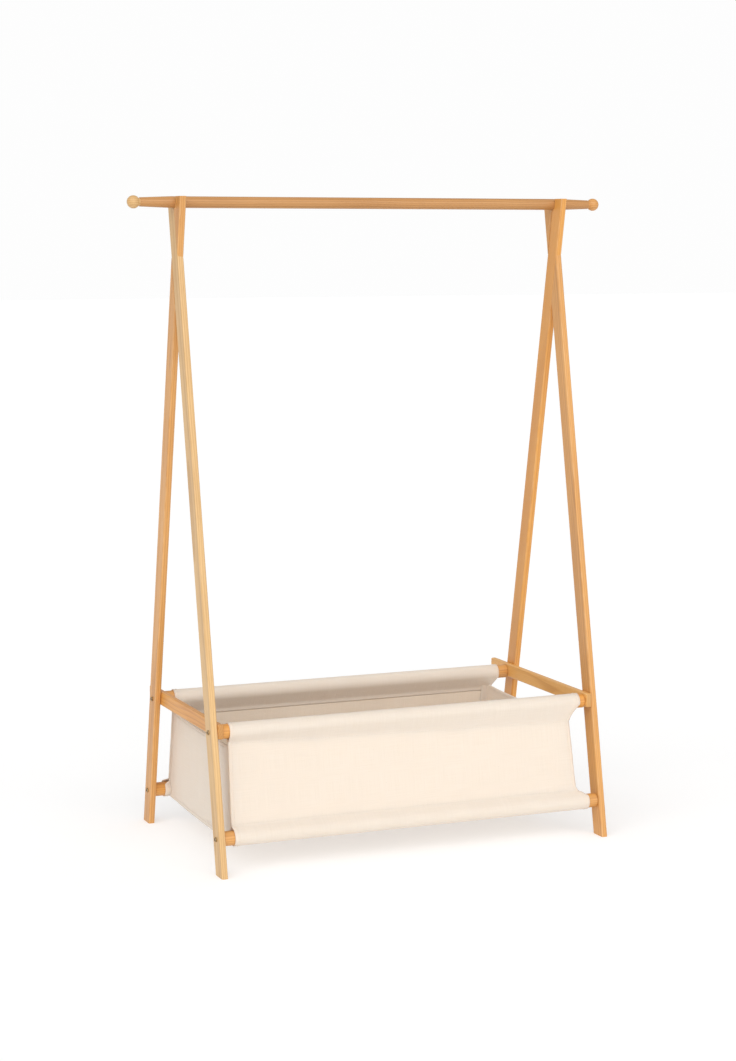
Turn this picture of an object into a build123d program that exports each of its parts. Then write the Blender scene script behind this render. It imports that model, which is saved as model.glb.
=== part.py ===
from build123d import *

import os
from math import atan2, cos, hypot

# Free-standing wooden clothes rack with a canvas storage box, in millimetres.
# X runs along the hanging rail, Y from front to rear, Z up from the floor.
# The origin is on the floor, midway between the feet.

# Hanging rail
RAIL_Z = 1250.0
RAIL_D = 22.0
RAIL_PLAIN_X = 412.0
RAIL_END_X = 473.0
RAIL_NECK_D = 17.4
BALL_X = 485.5
BALL_D = 24.6
NECK_COLLAR_D = 15.0
SPIGOT_D = 8.0
SPIGOT_LENGTH = 22.0
SPIGOT_GAP = 0.05

# Legs: flat slats in one plane per end, half-lapped where they cross
LEG_X = 400.0
LEG_WIDTH = 37.0
LEG_THICKNESS = 12.5
LEG_TOP_Z = 1261.0
FOOT_Y = 226.5
TOP_LEAN_Y = 20.0
LEG_ROUNDING = 3.0
LAP_GAP = 0.1
SEAT_GAP = 0.3

# Dowels that carry the storage box
DOWEL_D = 28.0
UPPER_Z = 265.0
LOWER_Z = 69.0
DOWEL_CHAMFER = 1.0

# Crosspieces on the inner faces of the legs
CROSS_Z = 268.0
CROSS_HEIGHT = 28.0
CROSS_THICKNESS = 11.0
CROSS_FRONT_Y = -194.0
CROSS_REAR_Y = {"left": 232.0, "right": 245.0}
CROSS_ROUNDING = 2.5

# Bolts and threaded inserts in the dowel ends
BOLT_D = 5.0
BOLT_HOLE_D = 5.4
BOLT_HEAD_D = 9.0
BOLT_HEAD_HEIGHT = 2.8
BOLT_HEAD_ROUNDING = 1.7
BOLT_REACH = 15.0
HEX_FLATS = 3.0
HEX_DEPTH = 1.8
INSERT_D = 10.0
INSERT_BORE_D = 5.2
INSERT_LENGTH = 13.0
INSERT_GAP = 0.05
DOWEL_BORE_DEPTH = 18.0

# Canvas storage box
CANVAS = 2.0
SLEEVE_GAP = 0.4
SLEEVE_WALL = 1.6
SLEEVE_LEFT_X = -370.0
UPPER_SLEEVE_RIGHT_X = {"front": 370.0, "rear": 360.0}
LOWER_SLEEVE_LEFT_X = -373.0
LOWER_SLEEVE_RIGHT_X = 374.0
BOX_RIGHT_X = 350.0
CORNER_DROP = 22.0
END_INSET = 4.0
END_TOP_Z = 238.0
FLOOR_Z = 56.0
CANVAS_GAP = 0.3

# How far a cutting solid reaches past the face it cuts
CUT_MARGIN = 1.0

# Worked-out values
LEG_SLOPE = (FOOT_Y + TOP_LEAN_Y) / RAIL_Z
LEG_LEAN = atan2(FOOT_Y + TOP_LEAN_Y, RAIL_Z)
LEG_HALF_Y = LEG_WIDTH / 2 / cos(LEG_LEAN)
LEG_OUTER_X = LEG_X + LEG_THICKNESS / 2
LEG_INNER_X = LEG_X - LEG_THICKNESS / 2
CROSS_INNER_X = LEG_INNER_X - CROSS_THICKNESS
SLEEVE_R = DOWEL_D / 2 + SLEEVE_GAP + SLEEVE_WALL

ENDS = {"left": -1, "right": 1}
SIDES = {"front": -1, "rear": 1}


def leg_y(z):
    """Distance of a leg's centre line from the middle plane at height z."""
    return FOOT_Y - LEG_SLOPE * z


UPPER_Y = leg_y(UPPER_Z)
LOWER_Y = leg_y(LOWER_Z)


def bar_x(diameter, x_start, x_end, y, z):
    """Round bar along X."""
    middle = Location(((x_start + x_end) / 2, y, z), (0, 90, 0))
    return middle * Cylinder(diameter / 2, abs(x_end - x_start))


def slab_x(outline, x_start, x_end):
    """Plate with a (y, z) outline, filled from x_start to x_end."""
    face = Plane.YZ.offset(x_start) * Polygon(*outline, align=None)
    return extrude(face, amount=x_end - x_start)


def leg_outline(side, half_width):
    """Parallelogram of one leg, cut level at the floor and at its top."""
    foot = side * leg_y(0)
    top = side * leg_y(LEG_TOP_Z)
    return [
        (foot - half_width, 0),
        (foot + half_width, 0),
        (top + half_width, LEG_TOP_Z),
        (top - half_width, LEG_TOP_Z),
    ]


def make_leg(end, side):
    """One slat leg; front legs keep the outer half of the lap, rear legs the inner half."""
    leg = slab_x(leg_outline(side, LEG_HALF_Y), LEG_INNER_X, LEG_OUTER_X)
    long_edges = leg.edges().filter_by(lambda edge: edge.length > LEG_TOP_Z / 2)
    leg = fillet(long_edges, LEG_ROUNDING)
    lap_x = (LEG_X, LEG_INNER_X - CUT_MARGIN) if side < 0 else (LEG_X, LEG_OUTER_X + CUT_MARGIN)
    leg -= slab_x(leg_outline(-side, LEG_HALF_Y + LAP_GAP), *lap_x)
    through_x = (LEG_INNER_X - CUT_MARGIN, LEG_OUTER_X + CUT_MARGIN)
    seat_d = RAIL_D + 2 * SEAT_GAP
    leg -= bar_x(seat_d, *through_x, 0, RAIL_Z)
    mouth = Location((LEG_X, 0, RAIL_Z + RAIL_D))
    leg -= mouth * Box(LEG_THICKNESS + 2 * CUT_MARGIN, seat_d, 2 * RAIL_D)
    for y, z in ((UPPER_Y, UPPER_Z), (LOWER_Y, LOWER_Z)):
        leg -= bar_x(BOLT_HOLE_D, *through_x, side * y, z)
    return leg if end > 0 else leg.mirror(Plane.YZ)


def make_crosspiece(end_name, end):
    """Flat bar across the two legs of one end, overhanging at the rear."""
    rear_y = CROSS_REAR_Y[end_name]
    length = rear_y - CROSS_FRONT_Y
    centre_y = (rear_y + CROSS_FRONT_Y) / 2
    centre_x = LEG_INNER_X - CROSS_THICKNESS / 2
    bar = Location((centre_x, centre_y, CROSS_Z)) * Box(CROSS_THICKNESS, length, CROSS_HEIGHT)
    bar = fillet(bar.edges(), CROSS_ROUNDING)
    through_x = (CROSS_INNER_X - CUT_MARGIN, LEG_INNER_X + CUT_MARGIN)
    for side in SIDES.values():
        bar -= bar_x(BOLT_HOLE_D, *through_x, side * UPPER_Y, UPPER_Z)
    return bar if end > 0 else bar.mirror(Plane.YZ)


def make_dowel(half_length, y, z):
    """Round dowel with a blind bore for an insert in each end."""
    dowel = bar_x(DOWEL_D, -half_length, half_length, y, z)
    rims = dowel.edges().filter_by(GeomType.CIRCLE)
    dowel = chamfer(rims, DOWEL_CHAMFER)
    for end in ENDS.values():
        bore_start = end * (half_length - DOWEL_BORE_DEPTH)
        dowel -= bar_x(INSERT_D, bore_start, end * (half_length + CUT_MARGIN), y, z)
    return dowel


def make_insert(end, half_length, y, z):
    """Threaded insert, flush with the dowel's end."""
    face_x = end * half_length
    inner_x = end * (half_length - INSERT_LENGTH)
    insert = bar_x(INSERT_D - 2 * INSERT_GAP, inner_x, face_x, y, z)
    margin = end * CUT_MARGIN
    return insert - bar_x(INSERT_BORE_D, inner_x - margin, face_x + margin, y, z)


def make_bolt(end, half_length, y, z):
    """Button-head bolt through the leg into the dowel's insert."""
    shank = bar_x(BOLT_D, LEG_OUTER_X, half_length - BOLT_REACH, y, z)
    head = bar_x(BOLT_HEAD_D, LEG_OUTER_X, LEG_OUTER_X + BOLT_HEAD_HEIGHT, y, z)
    outer_rim = head.edges().filter_by(GeomType.CIRCLE).sort_by(Axis.X)[-1]
    head = fillet(outer_rim, BOLT_HEAD_ROUNDING)
    socket_plane = Plane.YZ.offset(LEG_OUTER_X + BOLT_HEAD_HEIGHT - HEX_DEPTH)
    hexagon = RegularPolygon(HEX_FLATS / 2, 6, major_radius=False)
    socket = extrude(socket_plane * Pos(y, z) * hexagon, amount=2 * HEX_DEPTH)
    bolt = shank + head - socket
    return bolt if end > 0 else bolt.mirror(Plane.YZ)


def make_rail():
    """Round rail that tapers outside the legs, bored for the ball ends."""
    rail = revolve(
        Plane.XZ
        * Polygon(
            (-RAIL_END_X, 0),
            (-RAIL_END_X, RAIL_NECK_D / 2),
            (-RAIL_PLAIN_X, RAIL_D / 2),
            (RAIL_PLAIN_X, RAIL_D / 2),
            (RAIL_END_X, RAIL_NECK_D / 2),
            (RAIL_END_X, 0),
            align=None,
        ),
        Axis.X,
    )
    for end in ENDS.values():
        bore_start = end * (RAIL_END_X - SPIGOT_LENGTH - CUT_MARGIN)
        rail -= bar_x(SPIGOT_D + 2 * SPIGOT_GAP, bore_start, end * (RAIL_END_X + CUT_MARGIN), 0, 0)
    return Pos(0, 0, RAIL_Z) * rail


def make_ball(end):
    """Turned ball end with a short collar and a spigot in the rail."""
    ball = Pos(BALL_X, 0, RAIL_Z) * Sphere(BALL_D / 2)
    ball += bar_x(NECK_COLLAR_D, RAIL_END_X, BALL_X, 0, RAIL_Z)
    ball += bar_x(SPIGOT_D, RAIL_END_X - SPIGOT_LENGTH, BALL_X, 0, RAIL_Z)
    return ball if end > 0 else ball.mirror(Plane.YZ)


def make_side_panel(side_name, side):
    """Front or rear canvas: a panel between an upper and a lower dowel sleeve."""
    upper_right_x = UPPER_SLEEVE_RIGHT_X[side_name]
    run = hypot(LOWER_Y - UPPER_Y, UPPER_Z - LOWER_Z)
    down = Vector(0, side * (LOWER_Y - UPPER_Y), LOWER_Z - UPPER_Z)
    across = Vector(1, 0, 0)
    panel_plane = Plane(origin=(0, side * UPPER_Y, UPPER_Z), x_dir=across, z_dir=across.cross(down))
    outline = Polygon(
        (SLEEVE_LEFT_X, 0),
        (upper_right_x, 0),
        (upper_right_x, SLEEVE_R),
        (BOX_RIGHT_X, SLEEVE_R + CORNER_DROP),
        (BOX_RIGHT_X, run),
        (SLEEVE_LEFT_X, run),
        align=None,
    )
    panel = extrude(panel_plane * outline, amount=CANVAS / 2, both=True)
    panel += bar_x(2 * SLEEVE_R, SLEEVE_LEFT_X, upper_right_x, side * UPPER_Y, UPPER_Z)
    panel += bar_x(2 * SLEEVE_R, LOWER_SLEEVE_LEFT_X, LOWER_SLEEVE_RIGHT_X, side * LOWER_Y, LOWER_Z)
    bore_d = DOWEL_D + 2 * SLEEVE_GAP
    for y, z in ((UPPER_Y, UPPER_Z), (LOWER_Y, LOWER_Z)):
        panel -= bar_x(bore_d, -LEG_X, LEG_X, side * y, z)
    return panel


def clear_lower_sleeves(canvas):
    """Trim a canvas piece back from the two lower sleeves."""
    trim_d = 2 * (SLEEVE_R + CANVAS_GAP)
    for side in SIDES.values():
        canvas -= bar_x(trim_d, -LEG_X, LEG_X, side * LOWER_Y, LOWER_Z)
    return canvas


def make_floor_panel():
    """Canvas floor between the two lower sleeves."""
    half = LOWER_Y
    top_z = FLOOR_Z + CANVAS
    outline = [(-half, FLOOR_Z), (half, FLOOR_Z), (half, top_z), (-half, top_z)]
    panel = clear_lower_sleeves(slab_x(outline, SLEEVE_LEFT_X, BOX_RIGHT_X))
    return panel.solids().sort_by(SortBy.VOLUME)[-1]


def make_end_panel(end):
    """Canvas end of the box, its top edge below the crosspiece."""
    bottom_z = FLOOR_Z + CANVAS + CANVAS_GAP
    inset_y = CANVAS / 2 / cos(LEG_LEAN) + CANVAS_GAP
    bottom_y = leg_y(bottom_z) - inset_y
    top_y = leg_y(END_TOP_Z) - inset_y
    outline = [(-bottom_y, bottom_z), (bottom_y, bottom_z), (top_y, END_TOP_Z), (-top_y, END_TOP_Z)]
    outer_x = SLEEVE_LEFT_X + END_INSET if end < 0 else BOX_RIGHT_X - END_INSET
    return clear_lower_sleeves(slab_x(outline, outer_x, outer_x - end * CANVAS))


def build_nodes():
    """All sub-parts by node name."""
    nodes = {}
    for end_name, end in ENDS.items():
        for side_name, side in SIDES.items():
            nodes[f"leg_{side_name}_{end_name}"] = make_leg(end, side)
        nodes[f"crosspiece_{end_name}"] = make_crosspiece(end_name, end)
        nodes[f"rail_ball_{end_name}"] = make_ball(end)
        nodes[f"box_end_{end_name}"] = make_end_panel(end)
    inserts = []
    levels = {"upper": (CROSS_INNER_X, UPPER_Y, UPPER_Z), "lower": (LEG_INNER_X, LOWER_Y, LOWER_Z)}
    for level, (half_length, y, z) in levels.items():
        bolts = []
        for side_name, side in SIDES.items():
            nodes[f"dowel_{level}_{side_name}"] = make_dowel(half_length, side * y, z)
            for end in ENDS.values():
                bolts.append(make_bolt(end, half_length, side * y, z))
                inserts.append(make_insert(end, half_length, side * y, z))
        nodes[f"{level}_dowel_bolts"] = Compound(children=bolts)
    nodes["dowel_inserts"] = Compound(children=inserts)
    for side_name, side in SIDES.items():
        nodes[f"box_{side_name}"] = make_side_panel(side_name, side)
    nodes["box_floor"] = make_floor_panel()
    nodes["hanging_rail"] = make_rail()
    return nodes


os.makedirs("parts", exist_ok=True)
for name, shape in build_nodes().items():
    export_step(shape, f"parts/{name}.step")
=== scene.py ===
from math import acos, atan2, cos, exp, hypot, pi, radians, sin, sqrt

import bpy
import numpy as np
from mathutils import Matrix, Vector, noise


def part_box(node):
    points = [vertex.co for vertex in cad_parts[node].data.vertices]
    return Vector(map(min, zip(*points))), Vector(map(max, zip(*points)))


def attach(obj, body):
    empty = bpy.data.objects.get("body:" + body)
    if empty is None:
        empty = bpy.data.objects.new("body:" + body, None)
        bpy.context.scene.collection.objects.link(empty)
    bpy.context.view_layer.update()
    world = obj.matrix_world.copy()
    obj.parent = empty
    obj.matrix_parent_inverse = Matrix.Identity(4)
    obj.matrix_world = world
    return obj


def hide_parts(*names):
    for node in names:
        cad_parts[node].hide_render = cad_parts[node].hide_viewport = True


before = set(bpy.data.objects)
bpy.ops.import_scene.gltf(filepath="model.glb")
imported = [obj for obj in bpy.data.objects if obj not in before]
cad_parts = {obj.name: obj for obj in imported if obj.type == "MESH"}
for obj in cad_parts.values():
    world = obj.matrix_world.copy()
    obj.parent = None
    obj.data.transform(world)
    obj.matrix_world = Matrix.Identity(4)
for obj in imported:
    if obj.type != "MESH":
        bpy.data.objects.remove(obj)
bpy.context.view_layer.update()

# Everything is in metres: X along the rail, Y front to rear, Z up.

# Canvas
CLOTH = 0.0011
HEM_TIMES = 1.7
HEM_WIDTH = 0.009
LAYER_STEP = 0.0012

# Sleeves round the dowels; a seam is given by its distance from the dowel's middle
SLEEVE_SLACK = 0.0011
MOUTH_FLARE = 0.0016
MOUTH_LENGTH = 0.012
SLEEVE_END_START = 0.002
SLEEVE_END_STEP = 0.005
UPPER_SLEEVE_SHORTER = {"front": 0.004, "rear": 0.014}
UPPER_SEAM_LEFT = 0.020
UPPER_SEAM_RIGHT = 0.036
REAR_SEAM = 0.031
LOWER_SEAM = 0.020
SEAM_ALLOWANCE = 0.009

# Cut corners at the right, as distances from the upper and the lower dowel's middle
CORNER_TOP_START = 0.006
CORNER_TOP_END = 0.040
CORNER_LOW_START = 0.032
CORNER_LOW_END = 0.010
CORNER_POWER = 1.8

# How far the box's corners stray from the frame's nominal sides
LEFT_TOP_IN = 0.0015
LEFT_SPREAD = 0.0065
LEFT_REAR_IN = 0.0070
RIGHT_TOP_IN = 0.0018
RIGHT_SPREAD = 0.0065
END_INSET = {"left": 0.0010, "right": 0.0034}

# Unevenness of the front and rear canvas, and the distances over which it comes and goes
BILLOW = 0.0022
RIPPLE = 0.0011
PANEL_PULL_IN = 0.0012
PANEL_FREE_AT = 0.035
PUCKER = 0.00045
PUCKER_REACH = 0.009
SLEEVE_WOBBLE = 0.00015
EDGE_DRAG = 0.0009
EDGE_DRAG_REACH = 0.05

# The box's floor, sewn round the lower sleeves and turned up at the ends
FLOOR_SAG = 0.005
FLOOR_SAG_AT_ENDS = 0.35
FLOOR_SEAM_ANGLE = radians(55)
FLOOR_WRAP = [FLOOR_SEAM_ANGLE * k / 6 for k in range(2, 6)]
FLOOR_TURN_UP = 0.010
FLOOR_FOLD = (0.0006, 0.0012)
FLOOR_BILLOW = 0.0013
FLOOR_RIPPLE = 0.0006
FLOOR_FREE_AT = 0.03
FLOOR_FREE_AT_ENDS = 0.1

# End panels
FLANGE = 0.012
FLANGE_STEPS = 3
CORNER_RADIUS = 0.004
CORNER_STEPS = 5
SIDE_GAP = 1.5 * CLOTH
END_GAP = 1.8 * CLOTH
END_LIFT_OFF = 0.0006
END_BELOW_FLOOR = 0.001
END_TOP_SAG = 0.005
END_BOW = 0.0045
END_BILLOW = 0.0016
END_RIPPLE = 0.0009
END_TOP_BILLOW = 0.0030
END_LEAST_BOW = -0.0004

# Where each sheet's unevenness starts in the noise
SEEDS = {"front": 3, "rear": 8, "floor": 21, "left": 31, "right": 37}

# Mesh steps
SIDE_ROWS = 145
PANEL_ROWS = range(round(0.24 * SIDE_ROWS), round(0.76 * SIDE_ROWS))
COLUMN_STEP = 0.004
SLEEVE_STEPS = 60
PATH_STEP = 0.0005
SMOOTH_REACH = 8
SMOOTH_WIDTH = 3.2
FLOOR_STEP = 0.0055
END_ROW_STEP = 0.0032
END_COLUMN_STEP = 0.0042

# Stitches; the profile gives (along, radius, lift) as shares of the length and the thread,
# and the margins are the rows or columns that a stitch row leaves free at both ends
STITCH = 0.0031
STITCH_PITCH = 0.0042
THREAD = 0.00042
THREAD_SIDES = 6
STITCH_PROFILE = [
    (-0.5, 0.25, -0.5),
    (-0.36, 0.85, 0.1),
    (0.0, 1.0, 0.55),
    (0.36, 0.85, 0.1),
    (0.5, 0.25, -0.5),
]
SEAM_TO_STITCH = 0.004
EDGE_TO_STITCH = 0.007
END_STITCH_ROW = 2
CASING_MARGIN, SIDE_MARGIN, FLOOR_MARGIN, END_MARGIN = 3, 4, 6, 12
STITCH_LIFT = CLOTH / 2 + THREAD * 0.2
HEM_STITCH_LIFT = CLOTH + THREAD * 0.2

# Studio
ROOM_WHITE = (0.985, 0.985, 0.985, 1)
ROOM_LIGHT = 0.57
ROOM_SEEN = 1.0
FLOOR_GREY = (0.62, 0.62, 0.62, 1)
FLOOR_GLOW = 0.42
FLOOR_REACH = 40.0
SUN_DISTANCE = 5

# Camera
LENS_MM = 78.5
CAMERA_PLACE = (-1.7747, -4.2058, 1.1816)
CAMERA_YAW = 0.39745
CAMERA_PITCH = 0.13375
CAMERA_SHIFT_Y = 0.0184


# ---------------------------------------------------------------- shader building


class Shader:
    """One material and short ways to add nodes to it."""

    def __init__(self, name):
        self.material = bpy.data.materials.new(name)
        self.material.use_nodes = True
        self.tree = self.material.node_tree
        self.surface = self.tree.nodes["Principled BSDF"]

    def put(self, socket, value):
        if isinstance(value, bpy.types.NodeSocket):
            self.tree.links.new(value, socket)
        else:
            socket.default_value = value

    def add(self, kind, inputs, **settings):
        node = self.tree.nodes.new(kind)
        for key, value in settings.items():
            setattr(node, key, value)
        for key, value in inputs.items():
            self.put(node.inputs[key], value)
        return node

    def math(self, operation, a, b=0.0):
        return self.add("ShaderNodeMath", {0: a, 1: b}, operation=operation).outputs[0]

    def vector(self, operation, a, b):
        return self.add("ShaderNodeVectorMath", {0: a, 1: b}, operation=operation).outputs[0]

    def noise(self, vector, stretch, detail=3.0):
        """Noise with its own scale along each axis, per metre."""
        scaled = self.vector("MULTIPLY", vector, stretch)
        node = self.add("ShaderNodeTexNoise", {"Vector": scaled, "Scale": 1.0, "Detail": detail})
        return node.outputs[0]

    def between(self, value, low, high, to_low=0.0, to_high=1.0):
        """A smooth step from to_low at low to to_high at high."""
        inputs = {0: value, 1: low, 2: high, 3: to_low, 4: to_high}
        return self.add("ShaderNodeMapRange", inputs, interpolation_type="SMOOTHSTEP").outputs[0]

    def mix(self, factor, a, b):
        node = self.add("ShaderNodeMix", {}, data_type="RGBA")
        self.put(node.inputs[0], factor)
        self.put(node.inputs[6], a)
        self.put(node.inputs[7], b)
        return node.outputs[2]

    def split(self, vector):
        return self.add("ShaderNodeSeparateXYZ", {0: vector}).outputs

    def bump(self, height, distance):
        node = self.add("ShaderNodeBump", {"Height": height, "Distance": distance, "Strength": 1.0})
        self.put(self.surface.inputs["Normal"], node.outputs[0])

    def finish(self, colour, roughness, **uniform):
        self.put(self.surface.inputs["Base Color"], colour)
        self.put(self.surface.inputs["Roughness"], roughness)
        for key, value in uniform.items():
            self.surface.inputs[key.replace("_", " ")].default_value = value
        return self.material


# ---------------------------------------------------------------- materials

# Wood: light and dark tones, other colours, and how far the painted edge highlight and the darker ends
# (end grain, painted shade) reach
WOOD_TONES = {
    "pale": ((0.700, 0.450, 0.195, 1), (0.510, 0.285, 0.105, 1)),
    "honey": ((0.700, 0.355, 0.105, 1), (0.490, 0.210, 0.052, 1)),
    "golden": ((0.740, 0.355, 0.080, 1), (0.530, 0.205, 0.038, 1)),
    # painted light: a lighter tone for the right crosspiece, for the light on its inner face
    "bright": ((0.860, 0.480, 0.150, 1), (0.640, 0.300, 0.070, 1)),
    "turned": ((0.540, 0.270, 0.090, 1), (0.380, 0.165, 0.048, 1)),
}
PORES = (0.25, 0.11, 0.04, 1)
# painted highlight: paler colour for the long rounded edges
EDGE_HIGHLIGHT_COLOUR = (0.80, 0.56, 0.32, 1)
# darker cut ends: end grain, and on the dowels painted shade where they meet the frame
END_GRAIN_AND_SHADE = (0.33, 0.16, 0.055, 1)
RING_SPACING = 0.0042
EDGE_HIGHLIGHT_FROM, EDGE_HIGHLIGHT_TO = 0.0030, 0.0008
END_FROM, END_TO = 0.0022, 0.0004

# Where the tree's middle lay from the first piece of a kind, and its change from piece to piece
LEG_HEART, LEG_HEART_STEP = (0.045, -0.015), (-0.012, 0.012)
CROSSPIECE_HEART, CROSSPIECE_HEART_STEP = (0.05, 0.02), (0, -0.03)
ROUND_HEART, ROUND_HEART_STEP = (0.018, 0.022), (0.004, -0.005)
BOARD_SHIFT = 0.31

LEG_TONES = {
    "leg_front_left": "pale",
    "leg_rear_left": "honey",
    "leg_front_right": "honey",
    "leg_rear_right": "golden",
}
# painted light: the right crosspiece's brighter tone stands in for the light on its inner face
CROSSPIECE_TONES = {"crosspiece_left": "golden", "crosspiece_right": "bright"}
ROUND_TONES = {
    "dowel_upper_front": "golden",
    "dowel_upper_rear": "honey",
    "dowel_lower_front": "honey",
    "dowel_lower_rear": "golden",
    "hanging_rail": "turned",
    "rail_ball_left": "pale",
    "rail_ball_right": "honey",
}

# Cloth and thread
CANVAS = (0.835, 0.73, 0.635, 1)
# darker tone for slubs and clouds, also used for painted shade in the weave's hollows
CANVAS_DARK_TONE_AND_SHADE = (0.755, 0.645, 0.54, 1)
SEED_FLECK = (0.28, 0.17, 0.09, 1)
WEAVE_PITCH = 0.00075
THREAD_LIGHT = (0.82, 0.75, 0.66, 1)
THREAD_DARK = (0.60, 0.50, 0.39, 1)

# Fasteners
BRASS = (0.50, 0.36, 0.20, 1)
BRASS_DARK = (0.26, 0.17, 0.09, 1)
ZINC = (0.62, 0.62, 0.60, 1)
ZINC_DARK = (0.40, 0.40, 0.41, 1)
# painted shade: near-black colour for the hex sockets' recesses
SOCKET_SHADE = (0.012, 0.009, 0.007, 1)
SOCKET_R = 0.0023
SOCKET_EDGE = 0.0004


def wood_material(name, tone, turn, centre, heart, half=None, half_length=None):
    """Lacquered wood whose grain runs along local Z after the turn.

    centre is the piece's middle after the turn, heart where the tree's middle lay from
    there, and half the section's half sizes; the long edges get a painted highlight in patches.
    The cut ends, half_length from the middle, soak up more lacquer and are darker;
    this also paints shade on the dowels where they meet the frame.
    """
    light, dark = WOOD_TONES[tone]
    s = Shader(name)
    place = s.add("ShaderNodeTexCoord", {}).outputs["Object"]
    turned = s.add("ShaderNodeMapping", {"Vector": place, "Rotation": turn})
    local = s.vector("SUBTRACT", turned.outputs[0], centre)
    broad = s.vector("MULTIPLY", local, (9, 9, 2.2))
    drift = s.add("ShaderNodeTexNoise", {"Vector": broad, "Scale": 1.0})
    bent = s.vector("ADD", local, s.vector("MULTIPLY", drift.outputs[1], (0.016, 0.016, 0)))
    from_heart = s.vector("ADD", bent, (*heart, 0))
    flat = s.vector("MULTIPLY", from_heart, (1, 1, 0.012))
    radius = s.add("ShaderNodeVectorMath", {0: flat}, operation="LENGTH").outputs[1]
    ring = s.math("FRACT", s.math("DIVIDE", radius, RING_SPACING))
    late = s.math("MULTIPLY", s.between(ring, 0.35, 0.9), s.between(ring, 1.0, 0.93))
    fibre = s.noise(local, (850, 850, 14), 4)
    pores = s.between(s.noise(local, (2300, 2300, 45), 2), 0.62, 0.72)
    blotch = s.noise(local, (22, 22, 5), 2)
    tint = s.math("ADD", s.math("MULTIPLY", late, 0.55), s.between(blotch, 0.3, 0.75, 0.0, 0.30))
    colour = s.mix(tint, light, dark)
    colour = s.mix(s.between(fibre, 0.35, 0.7, 0.0, 0.22), colour, dark)
    colour = s.mix(s.math("MULTIPLY", pores, 0.28), colour, PORES)
    # painted highlight: the long rounded edges are painted paler, in patches
    if half is not None:
        x, y, _ = s.split(local)
        near_x = s.between(s.math("ABSOLUTE", x), half[0] - EDGE_HIGHLIGHT_FROM, half[0] - EDGE_HIGHLIGHT_TO)
        near_y = s.between(s.math("ABSOLUTE", y), half[1] - EDGE_HIGHLIGHT_FROM, half[1] - EDGE_HIGHLIGHT_TO)
        highlight_edges = s.math("MULTIPLY", near_x, near_y)
        patchy_highlight = s.math("MULTIPLY", highlight_edges, s.between(s.noise(local, (60, 60, 30)), 0.3, 0.7))
        colour = s.mix(s.math("MULTIPLY", patchy_highlight, 0.35), colour, EDGE_HIGHLIGHT_COLOUR)
    # darker cut ends: end grain, and on the dowels painted shade where they meet the frame
    if half_length is not None:
        along = s.math("ABSOLUTE", s.split(local)[2])
        cut = s.between(along, half_length - END_FROM, half_length - END_TO)
        colour = s.mix(s.math("MULTIPLY", cut, 0.45), colour, END_GRAIN_AND_SHADE)
    height = s.math("ADD", s.math("MULTIPLY", late, 0.35), s.math("MULTIPLY", fibre, 0.9))
    height = s.math("SUBTRACT", height, s.math("MULTIPLY", pores, 0.5))
    s.bump(height, 0.00010)
    roughness = s.between(fibre, 0.25, 0.75, 0.36, 0.52)
    return s.finish(colour, roughness, Coat_Weight=0.12, Coat_Roughness=0.22)


def canvas_material(name, colour, shade):
    """Plain-woven cotton canvas with slubs and seed flecks, laid out on its flat cut."""
    s = Shader(name)
    flat = s.add("ShaderNodeAttribute", {}, attribute_name="flat").outputs["Vector"]
    u, v, _ = s.split(flat)
    across = s.math("SINE", s.math("MULTIPLY", u, pi / WEAVE_PITCH))
    along = s.math("SINE", s.math("MULTIPLY", v, pi / WEAVE_PITCH))
    cell = s.math("MULTIPLY", across, along)
    warp_slub = s.noise(flat, (1300, 16, 1), 3)
    weft_slub = s.noise(flat, (16, 1300, 1), 3)
    slub = s.math("ADD", warp_slub, weft_slub)
    crown = s.math("ABSOLUTE", cell)
    weave = s.math("ADD", s.math("MULTIPLY", crown, 0.5), s.math("MULTIPLY", slub, 0.6))
    cloud = s.noise(flat, (9, 9, 1), 3)
    spread = s.vector("MULTIPLY", flat, (95, 95, 1))
    mark = s.add("ShaderNodeTexVoronoi", {"Vector": spread, "Scale": 1.0})
    chance = s.split(mark.outputs["Color"])[0]
    dot = s.between(mark.outputs["Distance"], 0.055, 0.02)
    fleck = s.math("MULTIPLY", dot, s.between(chance, 0.80, 0.84))
    base = s.mix(s.between(slub, 0.75, 1.25, 0.0, 0.55), shade, colour)
    base = s.mix(s.between(cloud, 0.3, 0.7, 0.0, 0.28), base, shade)
    # painted shade: the hollows between the yarn crowns are darkened
    base = s.mix(s.between(crown, 0.0, 0.35, 0.30, 0.0), base, shade)
    base = s.mix(s.math("MULTIPLY", fleck, 0.55), base, SEED_FLECK)
    s.bump(weave, 0.00022)
    roughness = s.between(slub, 0.7, 1.3, 0.80, 0.95)
    return s.finish(
        base,
        roughness,
        Sheen_Weight=0.15,
        Sheen_Roughness=0.45,
        Subsurface_Weight=0.3,
        Subsurface_Scale=0.004,
        Subsurface_Radius=(1.0, 0.85, 0.68),
    )


def thread_material():
    """Twisted cotton sewing thread."""
    s = Shader("cotton_thread")
    place = s.add("ShaderNodeTexCoord", {}).outputs["Object"]
    twist = s.noise(place, (2600, 2600, 2600), 2)
    colour = s.mix(s.between(twist, 0.35, 0.65), THREAD_DARK, THREAD_LIGHT)
    s.bump(twist, 0.00012)
    return s.finish(colour, s.between(twist, 0.3, 0.7, 0.6, 0.85), Sheen_Weight=0.2)


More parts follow.
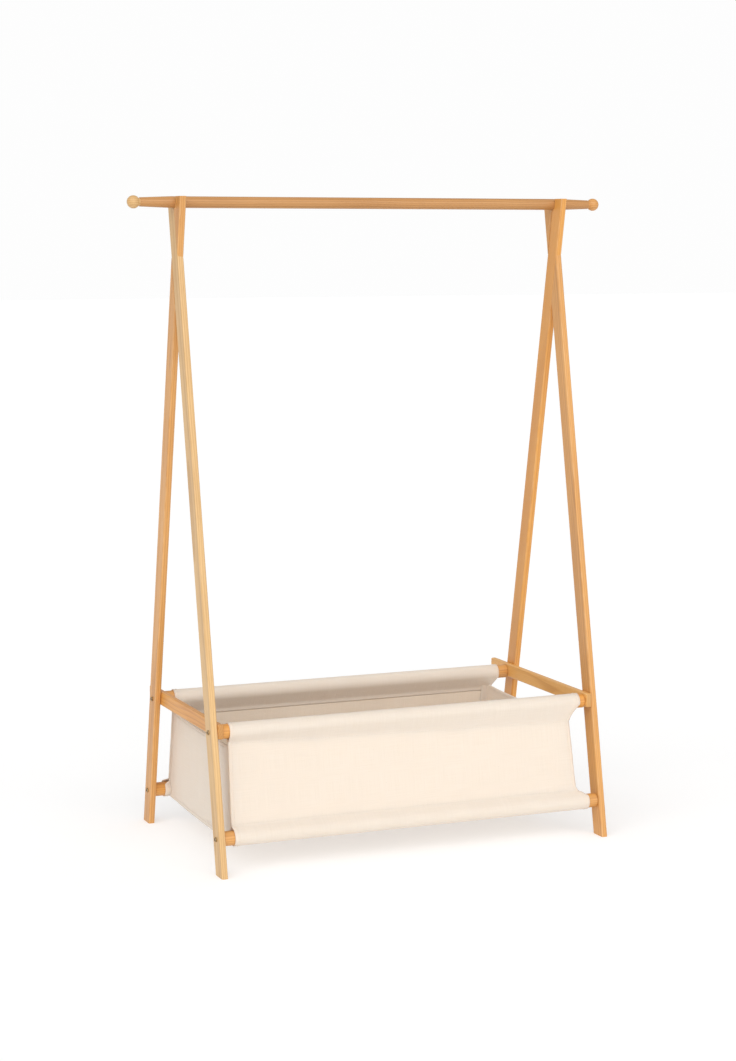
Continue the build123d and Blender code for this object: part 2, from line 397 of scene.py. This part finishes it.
def metal_material(name, light, dark, rough, bolts=None):
    """Plated steel with handling wear; the named bolts' hex sockets are painted shade, near black."""
    s = Shader(name)
    place = s.add("ShaderNodeTexCoord", {}).outputs["Object"]
    wear = s.noise(place, (420, 420, 420), 4)
    fine = s.noise(place, (300, 4200, 4200), 2)
    colour = s.mix(s.between(wear, 0.35, 0.72), dark, light)
    if bolts is not None:
        low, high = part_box(bolts)
        radius = (high.z - low.z) / 2
        _, y, z = s.split(place)
        from_axis_y = s.math("SUBTRACT", s.math("ABSOLUTE", y), high.y - radius)
        from_axis_z = s.math("SUBTRACT", z, (low.z + high.z) / 2)
        square_y = s.math("MULTIPLY", from_axis_y, from_axis_y)
        square_z = s.math("MULTIPLY", from_axis_z, from_axis_z)
        away = s.math("SQRT", s.math("ADD", square_y, square_z))
        # painted shade: a near-black disc where each hex socket's recess lies
        socket = s.between(away, SOCKET_R, SOCKET_R + SOCKET_EDGE, 0.9, 0.0)
        colour = s.mix(socket, colour, SOCKET_SHADE)
    s.bump(fine, 0.00004)
    roughness = s.between(wear, 0.3, 0.7, rough - 0.08, rough + 0.12)
    return s.finish(colour, roughness, Metallic=1.0)


def paint(node, material):
    """Give a CAD node one material in all its slots."""
    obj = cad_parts[node]
    if not obj.material_slots:
        obj.data.materials.append(material)
    for slot in obj.material_slots:
        slot.material = material


def middle(node):
    """Middle of a CAD node's box."""
    low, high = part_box(node)
    return (low + high) / 2


def tree_heart(first, step, number):
    """Where the tree's middle lay from the numbered piece of a kind."""
    return (first[0] + step[0] * number, first[1] + step[1] * number)


def paint_legs():
    """Wood for the legs, each a board of its own, with the grain along its lean."""
    upper, lower = middle("dowel_upper_rear"), middle("dowel_lower_rear")
    lean = atan2(lower.y - upper.y, upper.z - lower.z)
    foot_y = lower.y + lower.z * (lower.y - upper.y) / (upper.z - lower.z)
    low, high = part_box("leg_rear_right")
    half = ((high.x - low.x) / 2, (high.y - foot_y) * cos(lean))
    for number, (node, tone) in enumerate(LEG_TONES.items()):
        side = -1 if "front" in node else 1
        turn = (-side * lean, 0, 0)
        centre = (middle(node).x, side * foot_y * cos(lean), BOARD_SHIFT * number)
        heart = tree_heart(LEG_HEART, LEG_HEART_STEP, number)
        paint(node, wood_material(f"wood_{node}", tone, turn, centre, heart, half))


def paint_crosspieces():
    """Wood for the crosspieces, with the grain from front to rear."""
    for number, (node, tone) in enumerate(CROSSPIECE_TONES.items()):
        low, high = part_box(node)
        at, half = (low + high) / 2, (high - low) / 2
        turn, centre = (pi / 2, 0, 0), (at.x, -at.z, at.y)
        heart = tree_heart(CROSSPIECE_HEART, CROSSPIECE_HEART_STEP, number)
        section = (half.x, half.z)
        paint(node, wood_material(f"wood_{node}", tone, turn, centre, heart, section, half.y))


def paint_round_wood():
    """Wood for the dowels, the rail and its ball ends, with the grain from left to right."""
    for number, (node, tone) in enumerate(ROUND_TONES.items()):
        low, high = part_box(node)
        at, half = (low + high) / 2, (high - low) / 2
        turn, centre = (0, -pi / 2, 0), (-at.z, at.y, at.x)
        heart = tree_heart(ROUND_HEART, ROUND_HEART_STEP, number)
        half_length = half.x if "dowel" in node else None
        paint(node, wood_material(f"wood_{node}", tone, turn, centre, heart, None, half_length))


# ---------------------------------------------------------------- cloth geometry


def wave(x, y, seed):
    """Smooth noise from -1 to 1, the same each run."""
    return noise.noise(Vector((x, y, 7.3 * seed)))


def make_cloth(name, points, flat, hem, material):
    """A sheet from a grid of points, thicker where hem is 1, with its flat cut stored on it."""
    rows, columns = points.shape[:2]
    index = np.arange(rows * columns).reshape(rows, columns)
    quads = np.stack([index[:-1, :-1], index[:-1, 1:], index[1:, 1:], index[1:, :-1]], -1).reshape(-1, 4)
    mesh = bpy.data.meshes.new(name)
    mesh.from_pydata(points.reshape(-1, 3).tolist(), [], quads.tolist())
    stored = mesh.attributes.new("flat", "FLOAT_VECTOR", "POINT")
    padded = np.concatenate([flat, np.zeros((rows, columns, 1))], -1)
    stored.data.foreach_set("vector", padded.astype(np.float32).ravel())
    mesh.polygons.foreach_set("use_smooth", [True] * len(quads))
    obj = bpy.data.objects.new(name, mesh)
    bpy.context.scene.collection.objects.link(obj)
    mesh.materials.append(material)
    group = obj.vertex_groups.new(name="thickness")
    for weight, chosen in ((1.0, hem.ravel() > 0.5), (1 / HEM_TIMES, hem.ravel() <= 0.5)):
        group.add(np.flatnonzero(chosen).tolist(), weight, "REPLACE")
    solid = obj.modifiers.new("cloth_thickness", "SOLIDIFY")
    solid.thickness = CLOTH * HEM_TIMES
    solid.offset = 0
    solid.vertex_group = group.name
    return obj


def path_lengths(path):
    """Distance along a path at each of its points."""
    return np.concatenate([[0], np.cumsum(np.linalg.norm(np.diff(path, axis=0), axis=1))])


def grid_normals(points):
    """Unit normal at each point of a grid."""
    along = np.gradient(points, axis=0)
    across = np.gradient(points, axis=1)
    normals = np.cross(across, along)
    return normals / np.maximum(np.linalg.norm(normals, axis=-1, keepdims=True), 1e-9)


def edge_hem(flat, which):
    """1 within a hem's width of the named edges of the flat cut, elsewhere 0."""
    u, v = flat[..., 0], flat[..., 1]
    hem = np.zeros(u.shape)
    if "left" in which:
        hem[u - u.min(axis=1, keepdims=True) < HEM_WIDTH] = 1
    if "right" in which:
        hem[u.max(axis=1, keepdims=True) - u < HEM_WIDTH] = 1
    if "first" in which:
        hem[v - v[:1] < HEM_WIDTH] = 1
    if "last" in which:
        hem[v[-1:] - v < HEM_WIDTH] = 1
    return hem


def stitch_mesh(name, rows, material):
    """Short raised stitches along each row, a list of (point, outward normal) at every pitch."""
    sides, rings = THREAD_SIDES, len(STITCH_PROFILE)
    vertices, faces = [], []
    for row in rows:
        for (here, up), (after, _) in zip(row[:-1], row[1:]):
            direction = (after - here) / max(np.linalg.norm(after - here), 1e-9)
            sideways = np.cross(up, direction)
            sideways /= max(np.linalg.norm(sideways), 1e-9)
            first = len(vertices)
            for along, wide, lift in STITCH_PROFILE:
                ring_centre = here + direction * STITCH * along + up * THREAD * lift
                for k in range(sides):
                    turn = 2 * pi * k / sides
                    spoke = sideways * cos(turn) + up * sin(turn)
                    vertices.append(ring_centre + THREAD * wide * spoke)
            for ring in range(rings - 1):
                for k in range(sides):
                    a, b = first + ring * sides + k, first + ring * sides + (k + 1) % sides
                    faces.append((a, b, b + sides, a + sides))
            faces.append(tuple(first + k for k in reversed(range(sides))))
            faces.append(tuple(first + (rings - 1) * sides + k for k in range(sides)))
    mesh = bpy.data.meshes.new(name)
    mesh.from_pydata([tuple(v) for v in vertices], [], faces)
    mesh.polygons.foreach_set("use_smooth", [True] * len(faces))
    mesh.materials.append(material)
    obj = bpy.data.objects.new(name, mesh)
    bpy.context.scene.collection.objects.link(obj)
    return obj


def spaced_row(points, normals, lift):
    """The row's points again at the stitch pitch, lifted off the cloth along the normals."""
    along = path_lengths(points)
    at = np.arange(STITCH_PITCH, along[-1] - STITCH_PITCH, STITCH_PITCH)
    place = np.stack([np.interp(at, along, points[:, k]) for k in range(3)], 1)
    up = np.stack([np.interp(at, along, normals[:, k]) for k in range(3)], 1)
    up /= np.linalg.norm(up, axis=1, keepdims=True)
    return list(zip(place + up * lift, up))


def row_at_u(points, normals, flat, distance, rows, lift):
    """A stitch row that runs down the sheet at a distance from its right (+) or left (-) edge."""
    place, up = [], []
    for i in rows:
        u = flat[i, :, 0]
        target = u[-1] - distance if distance > 0 else u[0] - distance
        place.append([np.interp(target, u, points[i, :, k]) for k in range(3)])
        up.append([np.interp(target, u, normals[i, :, k]) for k in range(3)])
    return spaced_row(np.array(place), np.array(up), lift)


# ---------------------------------------------------------------- the storage box


class BoxSizes:
    """Where the canvas box's dowels, sleeves and panels are, from the CAD frame."""

    def __init__(self):
        upper, lower = middle("dowel_upper_rear"), middle("dowel_lower_rear")
        low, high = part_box("dowel_upper_rear")
        self.upper = np.array([upper.y, upper.z])
        self.lower = np.array([lower.y, lower.z])
        self.radius = (high.z - low.z) / 2 + SLEEVE_SLACK
        self.run = hypot(*(self.lower - self.upper))
        self.down = (self.lower - self.upper) / self.run
        self.out = np.array([-self.down[1], self.down[0]])
        low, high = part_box("box_front")
        self.lower_left_x, self.lower_right_x = low.x, high.x
        self.upper_right_x = {name: high.x - shorter for name, shorter in UPPER_SLEEVE_SHORTER.items()}
        low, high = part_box("box_floor")
        self.left_x, self.panel_right_x = low.x, high.x
        self.end_x = {"left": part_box("box_end_left")[0].x, "right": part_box("box_end_right")[1].x}
        self.end_top_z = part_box("box_end_left")[1].z

    def side_x(self, end, y_share, z):
        """X of the box's left (-1) or right (1) side; y_share is -1 at the front and 1 at the rear."""
        down = min(max((self.upper[1] - z) / (self.upper[1] - self.lower[1]), 0), 1)
        if end < 0:
            front = self.left_x + LEFT_TOP_IN - LEFT_SPREAD * down
            rear = self.left_x + LEFT_REAR_IN
        else:
            rear = self.panel_right_x - RIGHT_TOP_IN
            front = rear + RIGHT_SPREAD * down
        return front + (rear - front) * (y_share + 1) / 2

    def centre_y(self, z):
        """Distance of a side panel's middle surface from the middle plane at height z."""
        share = (self.upper[1] - z) / (self.upper[1] - self.lower[1])
        return self.upper[0] + share * (self.lower[0] - self.upper[0])

    def inner_y(self, z):
        """Distance to the inside of a side panel or its lower sleeve, with room for one layer."""
        height = z - self.lower[1]
        radius = self.radius
        tangent = radius * radius / LOWER_SEAM
        if height < tangent:
            bulge = sqrt(max(radius * radius - height * height, 0))
        elif height < LOWER_SEAM:
            bulge = (LOWER_SEAM - height) * radius / sqrt(LOWER_SEAM**2 - radius**2)
        else:
            bulge = LAYER_STEP
        return self.centre_y(z) - max(bulge, LAYER_STEP) - SIDE_GAP

    def floor_edge(self):
        """(y, z) of the seam between the floor and a lower sleeve."""
        return self.under_sleeve(FLOOR_SEAM_ANGLE)

    def under_sleeve(self, angle):
        """(y, z) on the outside of the lower sleeve, at an angle below its inner side."""
        reach = self.radius + LAYER_STEP
        return (self.lower[0] - reach * cos(angle), self.lower[1] - reach * sin(angle))

    def floor_height(self, x, y):
        """Height of the sagging floor."""
        edge_y, edge_z = self.floor_edge()
        middle_x = (self.end_x["left"] + self.end_x["right"]) / 2
        half_x = (self.end_x["right"] - self.end_x["left"]) / 2
        across = max(1 - (y / edge_y) ** 2, 0)
        along = max(1 - abs((x - middle_x) / half_x) ** 3, 0)
        share = FLOOR_SAG_AT_ENDS + (1 - FLOOR_SAG_AT_ENDS) * along
        return edge_z - FLOOR_SAG * across * share


def upper_seam(side, share):
    """How far the casing seam lies below the upper dowel's middle, at a share of the length."""
    if side > 0:
        return REAR_SEAM
    return UPPER_SEAM_LEFT + (UPPER_SEAM_RIGHT - UPPER_SEAM_LEFT) * share


def sleeve_path(radius, seam):
    """Cloth path round one dowel in (down, out), from the free allowance back to the seam."""
    phi = acos(radius / seam)
    path = [(seam + SEAM_ALLOWANCE, -LAYER_STEP), (seam, -LAYER_STEP)]
    for i in range(SLEEVE_STEPS + 1):
        angle = -phi - (2 * pi - 2 * phi) * i / SLEEVE_STEPS
        path.append((radius * cos(angle), radius * sin(angle)))
    path.append((seam, 0.0))
    return path


def smoothed(path):
    """The path with its sharp turns rounded a little; its ends stay where they are."""
    reach = np.arange(-SMOOTH_REACH, SMOOTH_REACH + 1)
    kernel = np.exp(-(reach / SMOOTH_WIDTH) ** 2)
    kernel /= kernel.sum()
    soft = np.stack([np.convolve(path[:, k], kernel, "valid") for k in range(2)], 1)
    return np.concatenate([path[:SMOOTH_REACH], soft, path[-SMOOTH_REACH:]])


def side_profile(box, seam):
    """Distance along a side panel's cloth, and (down, out) from the upper dowel's middle."""
    lower = [(box.run - a, b) for a, b in reversed(sleeve_path(box.radius, LOWER_SEAM))]
    path = np.array(sleeve_path(box.radius, seam) + lower)
    along = path_lengths(path)
    fine = np.arange(0, along[-1], PATH_STEP)
    path = smoothed(np.stack([np.interp(fine, along, path[:, k]) for k in range(2)], 1))
    along = path_lengths(path)
    at = np.linspace(0, along[-1], SIDE_ROWS)
    return at, np.stack([np.interp(at, along, path[:, k]) for k in range(2)], 1)


def left_edge(box, side, a):
    """Where the cloth ends on the left at distance a below the upper dowel's middle."""
    z = box.upper[1] + a * box.down[1]
    panel_x = box.side_x(-1, side, z)
    low = min(max((LOWER_SEAM - SLEEVE_END_START - (box.run - a)) / SLEEVE_END_STEP, 0), 1)
    return panel_x + (box.lower_left_x - panel_x) * low


def eased(t):
    """The curve of a cut corner, from 1 at its start to 0 at its end."""
    return (1 - min(max(t, 0), 1)) ** CORNER_POWER


def right_edge(box, side, a):
    """Where the cloth ends on the right at distance a below the upper dowel's middle."""
    top = eased((a - CORNER_TOP_START) / (CORNER_TOP_END - CORNER_TOP_START))
    low = eased((box.run - CORNER_LOW_END - a) / (CORNER_LOW_START - CORNER_LOW_END))
    panel_x = box.side_x(1, side, box.upper[1] + a * box.down[1])
    upper_x = box.upper_right_x["front" if side < 0 else "rear"]
    return panel_x + (upper_x - panel_x) * top + (box.lower_right_x - panel_x) * low


def side_unevenness(box, side, seam, place, along, from_end):
    """How far the cloth stands out from its smooth path, at a place (x, down, out)."""
    seed = SEEDS["front" if side < 0 else "rear"]
    x, a, b = place
    below, above = a - seam, box.run - LOWER_SEAM - a
    outer_layer = b > -LAYER_STEP / 2
    panel = max(min(below / PANEL_FREE_AT, above / PANEL_FREE_AT, 1), 0) if outer_layer else 0
    push = panel * (BILLOW * wave(x * 7, a * 9, seed) + RIPPLE * wave(x * 19, a * 14, seed + 1))
    push -= panel * PANEL_PULL_IN
    from_seam = min(abs(below), abs(above))
    push += exp(-(from_seam / PUCKER_REACH) ** 2) * PUCKER * wave(x * 95, a * 25, seed + 2)
    if below < 0 or above < 0:
        push += SLEEVE_WOBBLE * (1 + wave(x * 30, along * 45, seed + 3))
        slack_side = min(max(min(a, box.run - a) / box.radius, 0), 1)
        push += slack_side * MOUTH_FLARE * exp(-from_end / MOUTH_LENGTH)
    drag = exp(-from_end / EDGE_DRAG_REACH) * (0.3 + 0.7 * panel)
    return push + drag * EDGE_DRAG * wave(x * 34 + a * 60, a * 46 - x * 20, seed + 4)


def side_grid(box, side):
    """Points of the front (-1) or rear (1) canvas, and their places on its flat cut."""
    columns = round((box.lower_right_x - box.left_x) / COLUMN_STEP) + 1
    points = np.zeros((SIDE_ROWS, columns, 3))
    flat = np.zeros((SIDE_ROWS, columns, 2))
    for j, t in enumerate(np.linspace(0, 1, columns)):
        seam = upper_seam(side, t)
        along, profile = side_profile(box, seam)
        tangent = np.gradient(profile, axis=0)
        tangent /= np.linalg.norm(tangent, axis=1, keepdims=True)
        outward = np.stack([tangent[:, 1], -tangent[:, 0]], 1)
        if outward[SIDE_ROWS // 2, 1] < 0:
            outward = -outward
        for i, (a, b) in enumerate(profile):
            start, edge = left_edge(box, side, a), right_edge(box, side, a)
            x = start + (edge - start) * t
            from_end = min(x - start, edge - x)
            push = side_unevenness(box, side, seam, (x, a, b), along[i], from_end)
            a_out, b_out = (a, b) + outward[i] * push
            y, z = box.upper + box.down * a_out + box.out * b_out
            points[i, j] = (x, side * y, z)
            flat[i, j] = (x, along[i])
    return points, flat


def casing_rows(box, side, points, normals):
    """Stitch rows beside the upper and the lower casing seam, on both faces of the panel."""
    upper_row, lower_row = [], []
    shares = np.linspace(0, 1, points.shape[1])
    for j in range(CASING_MARGIN, len(shares) - CASING_MARGIN):
        spots = [np.array([side * points[i, j, 1], points[i, j, 2]]) for i in PANEL_ROWS]
        downs = [box.down @ (spot - box.upper) for spot in spots]
        targets = (upper_seam(side, shares[j]) + SEAM_TO_STITCH, box.run - LOWER_SEAM - SEAM_TO_STITCH)
        for row, target in zip((upper_row, lower_row), targets):
            at = [np.interp(target, downs, points[PANEL_ROWS, j, k]) for k in range(3)]
            up = [np.interp(target, downs, normals[PANEL_ROWS, j, k]) for k in range(3)]
            row.append((np.array(at), np.array(up)))
    chains = []
    for row in (upper_row, lower_row):
        at, up = np.array([p for p, _ in row]), np.array([n for _, n in row])
        chains.append(spaced_row(at, up, STITCH_LIFT))
        chains.append(spaced_row(at, -up, STITCH_LIFT))
    return chains


def make_side(box, side, canvas, thread):
    """Front (-1) or rear (1) canvas: an upper sleeve, the panel and a lower sleeve in one cut."""
    points, flat = side_grid(box, side)
    name = "front" if side < 0 else "rear"
    hem = edge_hem(flat, ("left", "right"))
    cloth = make_cloth(f"canvas_{name}", points, flat, hem, canvas)
    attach(cloth, "frame")
    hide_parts(f"box_{name}")

    normals = grid_normals(points)
    if normals[SIDE_ROWS // 2, points.shape[1] // 2, 1] * side < 0:
        normals = -normals
    chains = casing_rows(box, side, points, normals)
    down = range(SIDE_MARGIN, SIDE_ROWS - SIDE_MARGIN)
    for distance in (EDGE_TO_STITCH, -EDGE_TO_STITCH):
        chains.append(row_at_u(points, normals, flat, distance, down, HEM_STITCH_LIFT))
    stitches = stitch_mesh(f"stitches_{name}", chains, thread)
    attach(stitches, "frame")


def floor_lanes(box):
    """(y, z) across the floor, up round both lower sleeves; z is None where it hangs free."""
    edge_y, _ = box.floor_edge()
    ys = np.linspace(-edge_y, edge_y, round(2 * edge_y / FLOOR_STEP) + 1)
    flange = [box.under_sleeve(angle) for angle in FLOOR_WRAP]
    return [(-y, z) for y, z in flange] + [(y, None) for y in ys] + flange[::-1]


def floor_stations(low_x, high_x):
    """(x, rise) along the floor, with both ends turned up."""
    xs = np.linspace(low_x, high_x, round((high_x - low_x) / FLOOR_STEP) + 1)
    turned_up = [(0.0, FLOOR_TURN_UP * share) for share in (1, 0.66, 0.33)] + [FLOOR_FOLD]
    start = [(low_x + inset, rise) for inset, rise in turned_up]
    end = [(high_x - inset, rise) for inset, rise in reversed(turned_up)]
    return start + [(x, 0.0) for x in xs[1:-1]] + end


def floor_grid(box):
    """Points of the floor, and their places on its flat cut."""
    edge_y, edge_z = box.floor_edge()
    low_x, high_x = box.end_x["left"] + END_GAP, box.end_x["right"] - END_GAP
    lanes, stations = floor_lanes(box), floor_stations(low_x, high_x)
    across = path_lengths(np.array([(y, edge_z if z is None else z) for y, z in lanes]))
    lengths = path_lengths(np.array(stations))
    points = np.zeros((len(stations), len(lanes), 3))
    flat = np.zeros((len(stations), len(lanes), 2))
    for i, (x, rise) in enumerate(stations):
        for j, (y, z) in enumerate(lanes):
            if z is None:
                from_seam = (edge_y - abs(y)) / FLOOR_FREE_AT
                from_left = (x - low_x) / FLOOR_FREE_AT + FLOOR_FREE_AT_ENDS
                from_right = (high_x - x) / FLOOR_FREE_AT + FLOOR_FREE_AT_ENDS
                billow = FLOOR_BILLOW * wave(x * 9, y * 12, SEEDS["floor"])
                ripple = FLOOR_RIPPLE * wave(x * 30, y * 26, SEEDS["floor"] + 1)
                free = min(1, from_seam, from_left, from_right)
                z = box.floor_height(x, y) + free * (billow + ripple) + rise
            y_share = min(max(y / edge_y, -1), 1)
            left = box.side_x(-1, y_share, box.lower[1]) + END_INSET["left"] + END_GAP
            right = box.side_x(1, y_share, box.lower[1]) - END_INSET["right"] - END_GAP
            points[i, j] = (left + (right - left) * (x - low_x) / (high_x - low_x), y, z)
            flat[i, j] = (across[j], lengths[i])
    return points, flat


def make_floor(box, canvas, thread):
    """The floor: sewn to both lower sleeves, sagging between them, ends turned up."""
    points, flat = floor_grid(box)
    rows, columns = points.shape[:2]
    cloth = make_cloth("canvas_floor", points, flat, edge_hem(flat, ("first", "last")), canvas)
    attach(cloth, "frame")
    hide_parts("box_floor")

    normals = grid_normals(points)
    if normals[rows // 2, columns // 2, 2] < 0:
        normals = -normals
    inner = slice(FLOOR_MARGIN, rows - FLOOR_MARGIN)
    chains = []
    for j in (len(FLOOR_WRAP) + 1, columns - len(FLOOR_WRAP) - 2):
        chains.append(spaced_row(points[inner, j], normals[inner, j], STITCH_LIFT))
        chains.append(spaced_row(points[inner, j], -normals[inner, j], STITCH_LIFT))
    stitches = stitch_mesh("stitches_floor", chains, thread)
    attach(stitches, "frame")


def end_path(half, across_count):
    """(inset, y) across an end panel, with a flange round a rounded corner at each side."""
    corner = [(CORNER_RADIUS + FLANGE * (1 - k / FLANGE_STEPS), 0.0) for k in range(FLANGE_STEPS)]
    for k in range(CORNER_STEPS + 1):
        angle = pi / 2 * k / CORNER_STEPS
        corner.append((CORNER_RADIUS * (1 - sin(angle)), CORNER_RADIUS * (1 - cos(angle))))
    flat_half = half - CORNER_RADIUS
    path = [(inset, -(half - gap)) for inset, gap in corner]
    path += [(0.0, y) for y in np.linspace(-flat_half, flat_half, across_count)[1:-1]]
    return path + [(inset, half - gap) for inset, gap in reversed(corner)]


def end_bow(seed, share, free, y, z):
    """How far an end panel stands into the box at one point."""
    bow = free * sin(pi * min(share * 1.05, 1)) * END_BOW
    bow += free * END_BILLOW * wave(y * 11, z * 13, seed)
    bow += min(free * 3, 1) * END_RIPPLE * wave(y * 30, z * 18, seed + 1)
    bow += share**4 * free * END_TOP_BILLOW * wave(y * 8, 2.0, seed + 2)
    return max(bow, END_LEAST_BOW)


def end_grid(box, end_name):
    """Points of an end panel, and their places on its flat cut."""
    end = -1 if end_name == "left" else 1
    bottom_z = box.floor_edge()[1] - END_BELOW_FLOOR
    levels = round((box.end_top_z - bottom_z) / END_ROW_STEP) + 1
    across_count = round(2 * box.lower[0] / END_COLUMN_STEP)
    points, flat = [], []
    for share in np.arange(levels) / (levels - 1):
        level_z = bottom_z + share * (box.end_top_z - bottom_z)
        half = box.inner_y(level_z)
        path = end_path(half, across_count)
        along = path_lengths(np.array(path))
        row = []
        for inset, y in path:
            free = max(1 - (y / half) ** 2, 0)
            droop = END_TOP_SAG * free * share**3
            plane_x = box.side_x(end, min(max(y / half, -1), 1), level_z) - end * END_INSET[end_name]
            floor_z = box.floor_height(box.end_x[end_name], y) - END_BELOW_FLOOR
            z = level_z - droop + (floor_z - bottom_z) * (1 - share) ** 2
            bow = end_bow(SEEDS[end_name], share, free, y, z)
            row.append((plane_x - end * (inset + END_LIFT_OFF + bow), y, z))
        points.append(row)
        flat.append([(distance - along[-1] / 2, level_z) for distance in along])
    return np.array(points), np.array(flat)


def make_end(box, end_name, canvas, thread):
    """An end panel, sewn inside the front and rear canvas, its top edge free and hemmed."""
    end = -1 if end_name == "left" else 1
    points, flat = end_grid(box, end_name)
    rows, columns = points.shape[:2]
    hem = edge_hem(flat, ("first", "last"))
    cloth = make_cloth(f"canvas_end_{end_name}", points, flat, hem, canvas)
    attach(cloth, "frame")
    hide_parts(f"box_end_{end_name}")

    normals = grid_normals(points)
    if normals[rows // 2, columns // 2, 0] * end < 0:
        normals = -normals
    inner = slice(END_MARGIN, columns - END_MARGIN)
    chains = []
    for i in (END_STITCH_ROW, rows - 1 - END_STITCH_ROW):
        chains.append(spaced_row(points[i, inner], normals[i, inner], HEM_STITCH_LIFT))
        chains.append(spaced_row(points[i, inner], -normals[i, inner], HEM_STITCH_LIFT))
    stitches = stitch_mesh(f"stitches_end_{end_name}", chains, thread)
    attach(stitches, "frame")


# ---------------------------------------------------------------- stage, lights, camera


def make_floor_plane():
    """A large pale floor that glows a little, so that it stays as bright as the room."""
    mesh = bpy.data.meshes.new("studio_floor")
    corners = [(x * FLOOR_REACH, y * FLOOR_REACH, 0) for x, y in ((-1, -1), (1, -1), (1, 1), (-1, 1))]
    mesh.from_pydata(corners, [], [(0, 1, 2, 3)])
    floor = bpy.data.objects.new("studio_floor", mesh)
    bpy.context.scene.collection.objects.link(floor)
    s = Shader("studio_floor")
    glow = {"Emission_Color": (1, 1, 1, 1), "Emission_Strength": FLOOR_GLOW}
    mesh.materials.append(s.finish(FLOOR_GREY, 0.9, **glow))


def sun(name, azimuth, elevation, strength, width, colour):
    """Broad distant light, from an azimuth left of the front and an elevation."""
    data = bpy.data.lights.new(name, "SUN")
    data.energy = strength
    data.angle = width
    data.color = colour
    light = bpy.data.objects.new(name, data)
    flat = cos(elevation)
    towards = Vector((-flat * sin(azimuth), -flat * cos(azimuth), sin(elevation)))
    light.rotation_euler = towards.to_track_quat("Z", "Y").to_euler()
    light.location = towards * SUN_DISTANCE
    bpy.context.scene.collection.objects.link(light)


def make_lights():
    """A soft light from the front and a key light from the front left, in a white room.

    The camera sees the room brighter than it lights the rack.
    """
    scene = bpy.context.scene
    world = bpy.data.worlds.new("studio")
    scene.world = world
    world.use_nodes = True
    nodes, links = world.node_tree.nodes, world.node_tree.links
    background = nodes["Background"]
    background.inputs[0].default_value = ROOM_WHITE
    seen = nodes.new("ShaderNodeLightPath")
    strength = nodes.new("ShaderNodeMapRange")
    strength.inputs[3].default_value = ROOM_LIGHT
    strength.inputs[4].default_value = ROOM_SEEN
    links.new(seen.outputs["Is Camera Ray"], strength.inputs[0])
    links.new(strength.outputs[0], background.inputs[1])
    sun(
        "key",
        azimuth=radians(52),
        elevation=radians(38),
        strength=1.0,
        width=radians(50),
        colour=(1, 0.995, 0.98),
    )
    sun(
        "fill",
        azimuth=radians(0),
        elevation=radians(27),
        strength=1.35,
        width=radians(60),
        colour=(1, 1, 1),
    )
    scene.view_settings.view_transform = "Standard"


def make_camera():
    """The camera at the photograph's viewing angle."""
    data = bpy.data.cameras.new("camera")
    data.lens = LENS_MM
    data.sensor_width = 36
    data.shift_y = CAMERA_SHIFT_Y
    data.clip_start = 0.1
    data.clip_end = 200
    camera = bpy.data.objects.new("camera", data)
    camera.location = CAMERA_PLACE
    camera.rotation_euler = (pi / 2 - CAMERA_PITCH, 0, -CAMERA_YAW)
    bpy.context.scene.collection.objects.link(camera)
    bpy.context.scene.camera = camera


make_camera()
make_lights()
make_floor_plane()
paint_legs()
paint_crosspieces()
paint_round_wood()
for level in ("upper", "lower"):
    node = f"{level}_dowel_bolts"
    paint(node, metal_material(f"{level}_bolt_brass", BRASS, BRASS_DARK, 0.36, node))
paint("dowel_inserts", metal_material("zinc_insert", ZINC, ZINC_DARK, 0.35))

box_sizes = BoxSizes()
thread = thread_material()
canvas = canvas_material("cotton_canvas", CANVAS, CANVAS_DARK_TONE_AND_SHADE)
make_side(box_sizes, -1, canvas, thread)
make_side(box_sizes, 1, canvas, thread)
make_floor(box_sizes, canvas, thread)
for end_name in ("left", "right"):
    make_end(box_sizes, end_name, canvas, thread)
